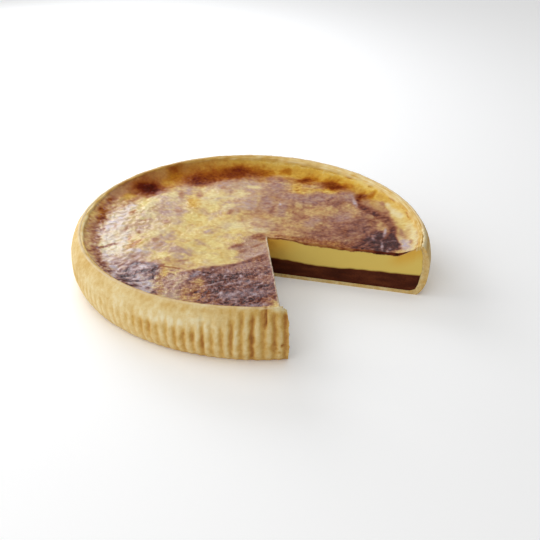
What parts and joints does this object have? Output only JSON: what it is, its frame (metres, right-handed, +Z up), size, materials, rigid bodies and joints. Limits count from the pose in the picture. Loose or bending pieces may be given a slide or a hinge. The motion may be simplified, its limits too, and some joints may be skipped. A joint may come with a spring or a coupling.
{
  "type": "custard flan tart",
  "caption": "Round custard flan tart with a wedge cut out: fluted shortcrust case, chocolate custard under vanilla custard, browned skin.",
  "frame": {"origin": "middle of the whole tart's underside, on the surface that it rests on", "axes": "+Z up; the missing wedge opens between +X and -Y, and the picture looks along +Y and down"},
  "size_m": [0.27, 0.27, 0.0421],
  "materials": {
    "shortcrust": "baked shortcrust pastry, dry and matt, paler on the ridges and browner in the grooves",
    "chocolate_custard": "set chocolate custard, smooth and moist where cut",
    "vanilla_custard": "set vanilla custard, pale and smooth where cut, under a glossy skin browned in patches"
  },
  "bodies": {
    "root": {"pastry_crust": "shortcrust", "chocolate_custard": "chocolate_custard", "vanilla_custard": "vanilla_custard"}
  },
  "joints": []
}
